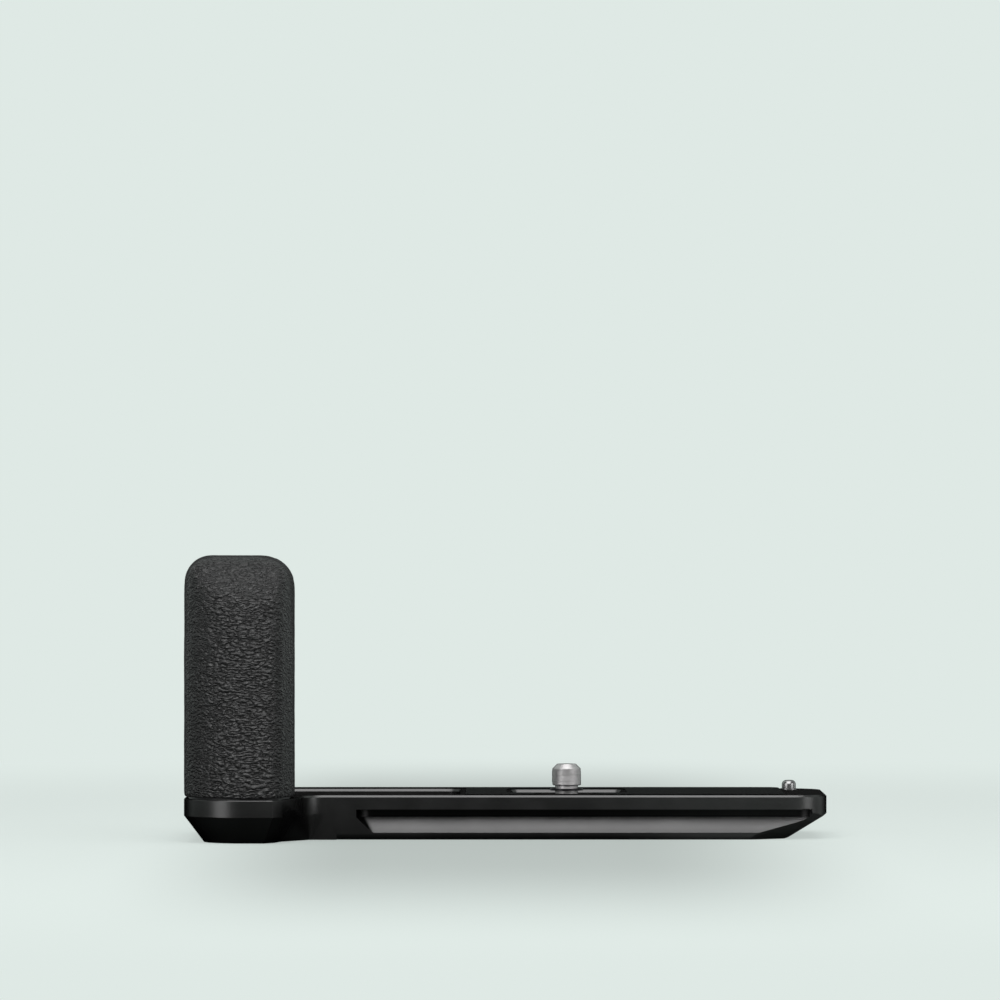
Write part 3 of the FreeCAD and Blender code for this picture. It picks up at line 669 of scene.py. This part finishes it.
def welded_copy(node):
    """The node's triangles joined into one skin."""
    bm = bmesh.new()
    bm.from_mesh(frame["nodes"][node].data)
    bmesh.ops.remove_doubles(bm, verts=bm.verts, dist=WELD_REACH)
    return bm


def merged_copy(node):
    """A welded copy, with its flat areas made single faces."""
    bm = welded_copy(node)
    flat = math.radians(FLAT_ANGLE)
    bmesh.ops.dissolve_limit(bm, angle_limit=flat, verts=bm.verts, edges=bm.edges)
    return bm


def edge_softened(name, node, material, width):
    """A node's own shape with its edges broken."""
    bm = merged_copy(node)
    smooth_by_angle(bm, EDGE_ANGLE)
    piece = new_piece(name, bm, material, node)
    broken = piece.modifiers.new("broken edges", "BEVEL")
    broken.width = width
    broken.segments = 2
    broken.limit_method = "ANGLE"
    broken.angle_limit = math.radians(EDGE_ANGLE)
    broken.harden_normals = True


def eased(piece, name, iterations):
    """A Smooth modifier that draws every vertex halfway to its neighbours' middle each time."""
    modifier = piece.modifiers.new(name, "SMOOTH")
    modifier.factor = 0.5
    modifier.iterations = iterations
    return modifier


def baked_mesh(piece):
    """Applies a piece's modifiers to its mesh."""
    shown = piece.evaluated_get(bpy.context.evaluated_depsgraph_get())
    mesh = bpy.data.meshes.new_from_object(shown)
    mesh.name = piece.data.name
    piece.modifiers.clear()
    piece.data = mesh
    return mesh


def cut_away(piece, cutter_bm):
    """Cuts a form out of a piece and leaves a plain mesh."""
    mesh = bpy.data.meshes.new("cutter")
    cutter_bm.to_mesh(mesh)
    cutter_bm.free()
    cutter = bpy.data.objects.new("cutter", mesh)
    bpy.context.scene.collection.objects.link(cutter)
    cut = piece.modifiers.new("cut", "BOOLEAN")
    cut.operation = "DIFFERENCE"
    cut.solver = "EXACT"
    cut.object = cutter
    bpy.context.view_layer.update()
    baked_mesh(piece)
    bpy.data.objects.remove(cutter)


# Leather covering

LEATHER_VOXEL = 0.27 * MM
LEATHER_EASING = 70
SLOPE_EASING = 450
# Least agreement between a face and the way out of the handle, for a face of the outer side
OUTER_SIDE = 0.3
# The relief, in millimetres: soft swelling, and wrinkles bent by a broad noise. Without a
# seed the bending noise would be another one each run.
LEATHER_SEED = 7
SWELL_RATE = 0.22
SWELL_HEIGHT = 0.05
BEND_RATE = 0.35
BEND_REACH = 0.9
WRINKLE_SIZE = (2.4, 1.9, 1.15)
WRINKLE_WIDTH = 0.3
SIDE_WRINKLE_DEPTH = 0.02
FRONT_WRINKLE_DEPTH = 0.16


def leather_relief(point, outward):
    """How far the leather stands off its core: soft pads, and wrinkles across the front."""
    spot = point / MM
    swell = noise.noise(spot * SWELL_RATE) * SWELL_HEIGHT
    front = max(0.0, -outward.y)
    bend = noise.noise_vector(spot * BEND_RATE) * BEND_REACH
    cell = Vector([part / size for part, size in zip(spot, WRINKLE_SIZE)]) + bend
    ridge = min(1.0, abs(noise.noise(cell)) / WRINKLE_WIDTH)
    depth = SIDE_WRINKLE_DEPTH + FRONT_WRINKLE_DEPTH * front * front
    return (swell + (ridge - 1.0) * depth) * MM


def ease_slope(piece):
    """Lets the slope at the top flow into the front and the sides without an edge."""
    soft = piece.vertex_groups.new(name="slope")
    for vert in piece.data.vertices:
        height = (vert.co.z - HANDLE_TOP + SLOPE_REACH) / SLOPE_BLEND
        depth = (SLOPE_BACK - vert.co.y) / SLOPE_BLEND
        weight = min(1.0, height, depth)
        if weight > 0:
            soft.add([vert.index], weight, "REPLACE")
    eased(piece, "eased slope", SLOPE_EASING).vertex_group = soft.name
    return baked_mesh(piece)


def handle_leather():
    """The covering as one even skin, eased, with its relief raised from the outer side."""
    piece = new_piece("handle_leather", welded_copy("handle_skin"), LEATHER, "handle_skin")
    even = piece.modifiers.new("even mesh", "REMESH")
    even.mode = "VOXEL"
    even.voxel_size = LEATHER_VOXEL
    eased(piece, "eased", LEATHER_EASING)
    baked_mesh(piece)
    mesh = ease_slope(piece)
    middle = Vector(((HANDLE_LEFT + HANDLE_RIGHT) / 2, (HANDLE_FRONT + COVER_FRONT) / 2, 0.0))
    shape = bmesh.new()
    shape.from_mesh(mesh)
    shape.normal_update()
    noise.seed_set(LEATHER_SEED)
    for vert in shape.verts:
        middle.z = min(vert.co.z, HANDLE_TOP - CROWN_DEPTH)
        outward = vert.co - middle
        if vert.normal.dot(outward.normalized()) > OUTER_SIDE:
            vert.co += vert.normal * leather_relief(vert.co, vert.normal)
    for face in shape.faces:
        face.smooth = True
    shape.to_mesh(mesh)
    shape.free()


# Screw, bush and pin

LATHE_STEPS = 96
LATHE_WELD_REACH = 0.001 * MM
HELIX_STEPS = 48
DOME_STEPS = 8


def lathe(bm, profile):
    """Turns (radius, z) points into a closed skin round the screw's axis."""
    verts = [bm.verts.new((radius, 0.0, z)) for radius, z in profile]
    edges = [bm.edges.new(pair) for pair in zip(verts, verts[1:])]
    bmesh.ops.spin(
        bm,
        geom=verts + edges,
        cent=(0.0, 0.0, 0.0),
        axis=(0.0, 0.0, 1.0),
        angle=math.tau,
        steps=LATHE_STEPS,
        use_merge=True,
    )
    bmesh.ops.remove_doubles(bm, verts=bm.verts, dist=LATHE_WELD_REACH)


def helix(bm, section, centre_x, start_z, turns):
    """Sweeps a closed (radius, z) section along a right-handed thread."""
    verts = [bm.verts.new((centre_x + radius, 0.0, start_z + z)) for radius, z in section]
    face = bm.faces.new(verts)
    bmesh.ops.spin(
        bm,
        geom=[face],
        cent=(centre_x, 0.0, 0.0),
        axis=(0.0, 0.0, 1.0),
        dvec=(0.0, 0.0, THREAD_PITCH / HELIX_STEPS),
        angle=math.tau * turns,
        steps=round(turns * HELIX_STEPS),
        use_merge=False,
    )


def camera_screw():
    """Thread, neck with the ring's groove, and a coin-slotted head, turned in one piece."""
    bm = bmesh.new()
    root = THREAD_RADIUS - THREAD_DEPTH
    section = [
        (root - THREAD_SINK, 0.0),
        (root - THREAD_SINK, THREAD_FOOT),
        (THREAD_RADIUS, (THREAD_PITCH + THREAD_CREST) / 2),
        (THREAD_RADIUS, (THREAD_PITCH - THREAD_CREST) / 2),
    ]
    turns = (THREAD_HIGH - THREAD_LOW) / THREAD_PITCH
    helix(bm, section, 0.0, THREAD_LOW, turns - 1.0)
    for vert in bm.verts:
        allowed = THREAD_RADIUS - max(0.0, vert.co.z - (THREAD_HIGH - THREAD_CHAMFER))
        flat = Vector((vert.co.x, vert.co.y, 0.0))
        if flat.length > allowed:
            flat = flat * (allowed / flat.length)
            vert.co = Vector((flat.x, flat.y, vert.co.z))
    lathe(
        bm,
        [
            (0.0, HEAD_LOW),
            (HEAD_RADIUS - HEAD_EDGE, HEAD_LOW),
            (HEAD_RADIUS, HEAD_LOW + HEAD_EDGE),
            (HEAD_RADIUS, HEAD_TOP - HEAD_EDGE),
            (HEAD_RADIUS - HEAD_EDGE, HEAD_TOP),
            (NECK_RADIUS, HEAD_TOP),
            (NECK_RADIUS, RING_LOW - RING_PLAY),
            (RING_GROOVE_RADIUS, RING_LOW - RING_PLAY),
            (RING_GROOVE_RADIUS, RING_HIGH + RING_PLAY),
            (NECK_RADIUS, RING_HIGH + RING_PLAY),
            (NECK_RADIUS, THREAD_LOW),
            (root - THREAD_RUN_OUT, THREAD_LOW),
            (root, THREAD_LOW + THREAD_RUN_OUT),
            (root, THREAD_HIGH - THREAD_CHAMFER + THREAD_DEPTH),
            (THREAD_RADIUS - THREAD_CHAMFER, THREAD_HIGH),
            (0.0, THREAD_HIGH),
        ],
    )
    piece = finished_piece("camera_screw_turned", bm, SCREW_STEEL, "camera_screw")
    slot = Matrix.Diagonal((3 * HEAD_RADIUS, COIN_SLOT_WIDTH, 2 * COIN_SLOT_DEPTH, 1.0))
    slot_place = Matrix.Translation((0.0, 0.0, HEAD_LOW)) @ slot
    cutter = bmesh.new()
    bmesh.ops.create_cube(cutter, size=1.0, matrix=slot_place)
    cut_away(piece, cutter)


def locating_pin():
    """A domed pin on a thicker shank."""
    bm = bmesh.new()
    arc = [math.radians(90.0 * step / DOME_STEPS) for step in range(DOME_STEPS + 1)]
    flat = PIN_RADIUS - PIN_DOME_RADIUS
    dome = [
        (flat + PIN_DOME_RADIUS * math.cos(a), PIN_TOP - PIN_DOME_RADIUS * (1 - math.sin(a)))
        for a in arc
    ]
    shank = [
        (0.0, PIN_LOW),
        (PIN_SHANK_RADIUS, PIN_LOW),
        (PIN_SHANK_RADIUS, 0.0),
        (PIN_RADIUS, 0.0),
    ]
    lathe(bm, shank + dome + [(0.0, PIN_TOP)])
    bmesh.ops.translate(bm, verts=bm.verts, vec=PIN_CENTRE)
    finished_piece("locating_pin_polished", bm, PIN_STEEL, "locating_pin")


def tripod_bush():
    """The bush with its inner thread wound into the bore."""
    bm = merged_copy("tripod_bush")
    wall = BUSH_BORE_RADIUS + BUSH_THREAD_SINK
    crest_low, crest_high = BUSH_THREAD_CREST
    section = [
        (wall, 0.0),
        (wall, THREAD_PITCH * BUSH_THREAD_ROOT),
        (wall - BUSH_THREAD_DEPTH, THREAD_PITCH * crest_high),
        (wall - BUSH_THREAD_DEPTH, THREAD_PITCH * crest_low),
    ]
    turns = (BUSH_BORE_TOP - BUSH_LOW - BUSH_THREAD_START) / THREAD_PITCH - 1.0
    helix(bm, section, BUSH_X, BUSH_LOW + BUSH_THREAD_START, turns)
    finished_piece("tripod_bush_threaded", bm, BUSH_STEEL, "tripod_bush")


# Room, lights and camera

def floor_painted_shadow(tree, place):
    """How bright the floor's paint is: a painted soft shadow under and in front of the object."""
    cover = None
    for axis, (start, full, still, end) in (("X", SHADE_X), ("Y", SHADE_Y)):
        for limits in ((start, full), (end, still)):
            side = stretch(tree, place[axis], *limits)
            cover = side if cover is None else product(tree, cover, side)
    return rest_of_one(tree, product(tree, cover, SHADE_DEPTH))


def clear_from_beneath(tree, shader):
    """The shader from above, and nothing from below."""
    beneath = tree.nodes.new("ShaderNodeNewGeometry")
    clear = tree.nodes.new("ShaderNodeBsdfTransparent")
    choice = tree.nodes.new("ShaderNodeMixShader")
    tree.links.new(beneath.outputs["Backfacing"], choice.inputs["Fac"])
    tree.links.new(shader, choice.inputs[1])
    tree.links.new(clear.outputs["BSDF"], choice.inputs[2])
    output = tree.nodes.new("ShaderNodeOutputMaterial")
    tree.links.new(choice.outputs["Shader"], output.inputs["Surface"])


def stage_finish(name, share):
    """Pale paint that shows the background's own colour, with a painted shadow near the object;
    near the object it also takes real light.
    """
    material = bpy.data.materials.new(name)
    nodes, links = tree_of(material)
    tree = material.node_tree
    lit = nodes.new("ShaderNodeBsdfDiffuse")
    shown = add_node(nodes, "ShaderNodeEmission", {"Color": BACKGROUND})
    rays = nodes.new("ShaderNodeLightPath").outputs
    mix = nodes.new("ShaderNodeMixShader")
    mirrored = maths(tree, "MAXIMUM", rays["Is Glossy Ray"], rays["Is Transmission Ray"])
    paint = add_node(nodes, "ShaderNodeHueSaturation", {"Color": LIT_COLOUR})
    links.new(paint.outputs["Color"], lit.inputs["Color"])
    if share > 0:
        position = object_place(tree)
        place = split(tree, position)
        offset = add_node(nodes, "ShaderNodeVectorMath", operation="LENGTH")
        links.new(position, offset.inputs[0])
        near = stretch(tree, offset.outputs["Value"], *LIT_REACH)
        taken = product(tree, near, share)
        painted = rest_of_one(tree, taken)
        real = product(tree, taken, LIT_LEVEL)
        # Painted shadow: the glow is dimmed under and in front of the object.
        wanted = maths(tree, "SUBTRACT", floor_painted_shadow(tree, place), real)
        links.new(maths(tree, "DIVIDE", wanted, painted), shown.inputs["Strength"])
        seen = product(tree, rays["Is Camera Ray"], painted)
        # Painted shade: to mirrored rays the floor's paint is darkened under the object.
        mirrored_painted_shade = stretch(tree, place["X"], *MIRROR_DARK_X, MIRROR_DARKENING, 0.0)
        dark = rest_of_one(tree, product(tree, mirrored, mirrored_painted_shade))
        links.new(dark, paint.inputs["Value"])
        behind = stretch(tree, place["Y"], *SWEEP_FRONT)
        far = product(tree, rest_of_one(tree, near), behind)
        far = product(tree, mirrored, far)
        links.new(maths(tree, "ADD", seen, far, clamp=True), mix.inputs["Fac"])
    else:
        seen = maths(tree, "MAXIMUM", rays["Is Camera Ray"], mirrored)
        links.new(seen, mix.inputs["Fac"])
    links.new(lit.outputs["BSDF"], mix.inputs[1])
    links.new(shown.outputs["Emission"], mix.inputs[2])
    clear_from_beneath(tree, mix.outputs["Shader"])
    return material


def stage_plane(name, matrix, material):
    bm = bmesh.new()
    bmesh.ops.create_grid(bm, x_segments=1, y_segments=1, size=STAGE_SIZE, matrix=matrix)
    mesh = bpy.data.meshes.new(name)
    bm.to_mesh(mesh)
    bm.free()
    mesh.materials.append(material)
    plane = bpy.data.objects.new(name, mesh)
    bpy.context.scene.collection.objects.link(plane)


def soft_box(name, place, width, height, power):
    lamp = bpy.data.lights.new(name, "AREA")
    lamp.shape = "RECTANGLE"
    lamp.size = width
    lamp.size_y = height
    lamp.energy = power
    holder = bpy.data.objects.new(name, lamp)
    holder.location = place
    aim = Vector(LAMP_TARGET) - Vector(place)
    holder.rotation_euler = aim.to_track_quat("-Z", "Y").to_euler()
    bpy.context.scene.collection.objects.link(holder)


def make_world():
    """Pale to the camera, a dim grey to everything else."""
    world = bpy.data.worlds.new("room")
    world.use_nodes = True
    sky = world.node_tree
    backing = sky.nodes["Background"]
    set_inputs(backing, {"Color": WORLD_GREY, "Strength": WORLD_LEVEL})
    pale = add_node(sky.nodes, "ShaderNodeBackground", {"Color": BACKGROUND, "Strength": 1.0})
    path = sky.nodes.new("ShaderNodeLightPath")
    mix = sky.nodes.new("ShaderNodeMixShader")
    sky.links.new(path.outputs["Is Camera Ray"], mix.inputs["Fac"])
    sky.links.new(backing.outputs["Background"], mix.inputs[1])
    sky.links.new(pale.outputs["Background"], mix.inputs[2])
    sky.links.new(mix.outputs["Shader"], sky.nodes["World Output"].inputs["Surface"])
    bpy.context.scene.world = world


def make_room():
    floor_place = Matrix.Translation((0.0, 0.0, -SEAT_TO_BOTTOM - FLOOR_GAP))
    stage_plane("floor", floor_place, stage_finish("floor paint", LIT_SHARE))
    upright = Matrix.Rotation(math.radians(90.0), 4, "X")
    wall_place = Matrix.Translation((0.0, BACKDROP_DISTANCE, 0.0)) @ upright
    stage_plane("backdrop", wall_place, stage_finish("backdrop paint", 0.0))
    make_world()
    for name, (place, width, height, power) in SOFT_BOXES.items():
        soft_box(name, place, width, height, power)


def make_camera():
    data = bpy.data.cameras.new("camera")
    data.lens = CAMERA_LENS
    data.sensor_width = SENSOR_WIDTH
    data.clip_start, data.clip_end = CAMERA_CLIP
    camera = bpy.data.objects.new("camera", data)
    camera.location = CAMERA_PLACE
    camera.rotation_euler = (math.radians(90.0), 0.0, 0.0)
    bpy.context.scene.collection.objects.link(camera)
    bpy.context.scene.camera = camera


make_camera()
make_room()
handle_leather()
camera_screw()
tripod_bush()
edge_softened("plate_and_foot", "base_plate", ANODISED, 0.1 * MM)
edge_softened("seat_rubber", "seat_pad", SEAT_RUBBER, 0.04 * MM)
edge_softened("back_rubber", "handle_back_pad", BACK_RUBBER, 0.25 * MM)
edge_softened("back_cover_shell", "handle_back_cover", MOULDED, 0.15 * MM)
locating_pin()
edge_softened("ring_open", "retaining_ring", BLACK_OXIDE, 0.04 * MM)
edge_softened("washer_soft", "friction_washer", NYLON, 0.05 * MM)
edge_softened("handle_screws_black", "handle_screws", BLACK_OXIDE, 0.05 * MM)

# Nodes that are shown as they are
PLAIN_NODES = {
    "handle_core": MOULDED,
    "back_cover_screws": SMALL_STEEL,
    "core_inserts": BRASS,
    "bush_grub_screw": BLACK_OXIDE,
}
for node, material in PLAIN_NODES.items():
    shown = frame["nodes"][node]
    shown.data.materials.clear()
    shown.data.materials.append(material)

bpy.context.scene.view_settings.view_transform = "Standard"
